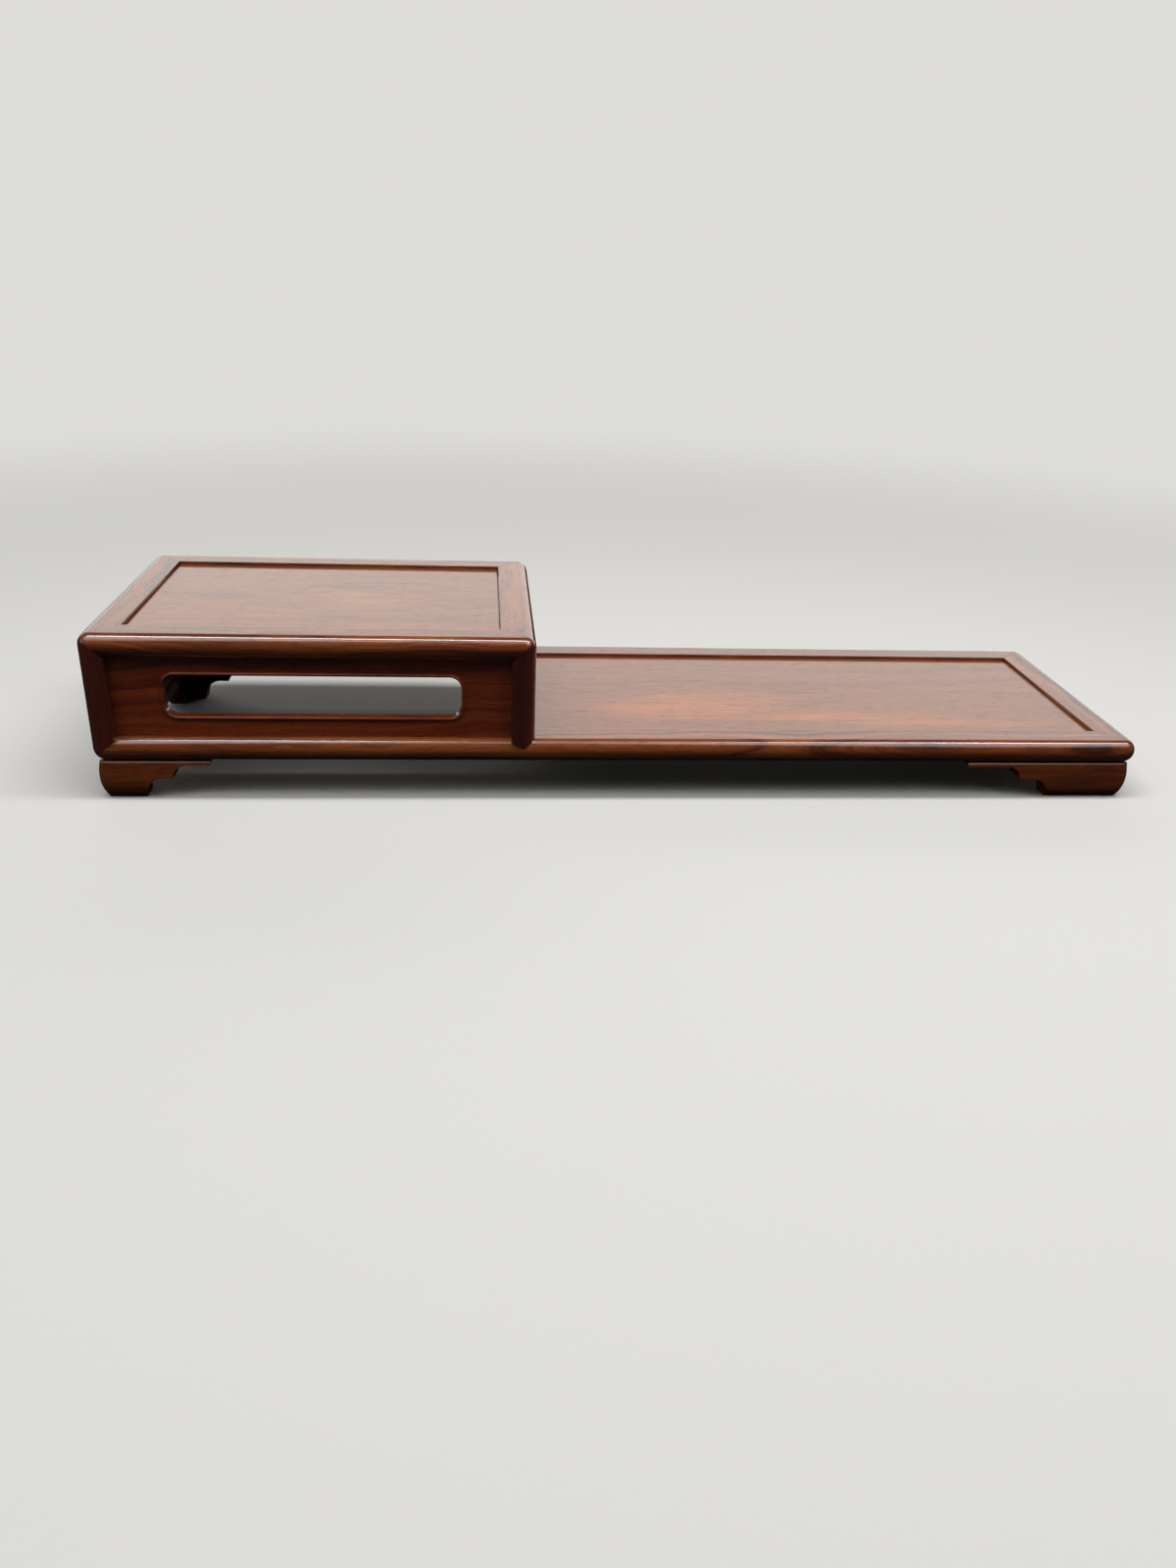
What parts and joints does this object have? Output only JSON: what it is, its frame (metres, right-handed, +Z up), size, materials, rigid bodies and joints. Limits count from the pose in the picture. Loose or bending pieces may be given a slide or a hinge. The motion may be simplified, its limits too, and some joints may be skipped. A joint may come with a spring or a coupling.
{
  "type": "two-tier display stand",
  "caption": "Low hardwood display stand with a raised tier at one end: mitred frames, recessed panels, boards with an oblong opening, and stepped bracket feet.",
  "frame": {"origin": "centre of the bounding box in plan, on the floor under the feet", "axes": "+X along the length, away from the raised tier; +Y towards the back; +Z up"},
  "size_m": [0.45, 0.13, 0.0717],
  "materials": {
    "frame_wood": "oiled and waxed hardwood, satin gloss",
    "panel_wood": "oiled and waxed hardwood, satin gloss",
    "board_wood": "oiled and waxed hardwood, satin",
    "post_wood": "oiled and waxed dark hardwood, satin",
    "foot_wood": "oiled and waxed hardwood, satin",
    "dowel_wood": "bare pale wood, matt"
  },
  "bodies": {
    "root": {"back_board": "board_wood", "back_left_foot_long_arm": "foot_wood", "back_left_foot_side_arm": "foot_wood", "back_left_long_dowel_1": "dowel_wood", "back_left_long_dowel_2": "dowel_wood", "back_left_post": "post_wood", "back_left_side_dowel_1": "dowel_wood", "back_left_side_dowel_2": "dowel_wood", "back_right_foot_long_arm": "foot_wood", "back_right_foot_side_arm": "foot_wood", "back_right_long_dowel_1": "dowel_wood", "back_right_long_dowel_2": "dowel_wood", "back_right_post": "post_wood", "back_right_side_dowel_1": "dowel_wood", "back_right_side_dowel_2": "dowel_wood", "cross_rail": "frame_wood", "front_board": "board_wood", "front_left_foot_long_arm": "foot_wood", "front_left_foot_side_arm": "foot_wood", "front_left_long_dowel_1": "dowel_wood", "front_left_long_dowel_2": "dowel_wood", "front_left_post": "post_wood", "front_left_side_dowel_1": "dowel_wood", "front_left_side_dowel_2": "dowel_wood", "front_right_foot_long_arm": "foot_wood", "front_right_foot_side_arm": "foot_wood", "front_right_long_dowel_1": "dowel_wood", "front_right_long_dowel_2": "dowel_wood", "front_right_post": "post_wood", "front_right_side_dowel_1": "dowel_wood", "front_right_side_dowel_2": "dowel_wood", "left_board": "board_wood", "lower_back_rail": "frame_wood", "lower_batten_1": "frame_wood", "lower_batten_2": "frame_wood", "lower_front_rail": "frame_wood", "lower_left_rail": "frame_wood", "lower_panel": "panel_wood", "lower_right_rail": "frame_wood", "right_board": "board_wood", "upper_back_rail": "frame_wood", "upper_batten": "frame_wood", "upper_front_rail": "frame_wood", "upper_left_rail": "frame_wood", "upper_panel": "panel_wood", "upper_right_rail": "frame_wood"}
  },
  "joints": []
}
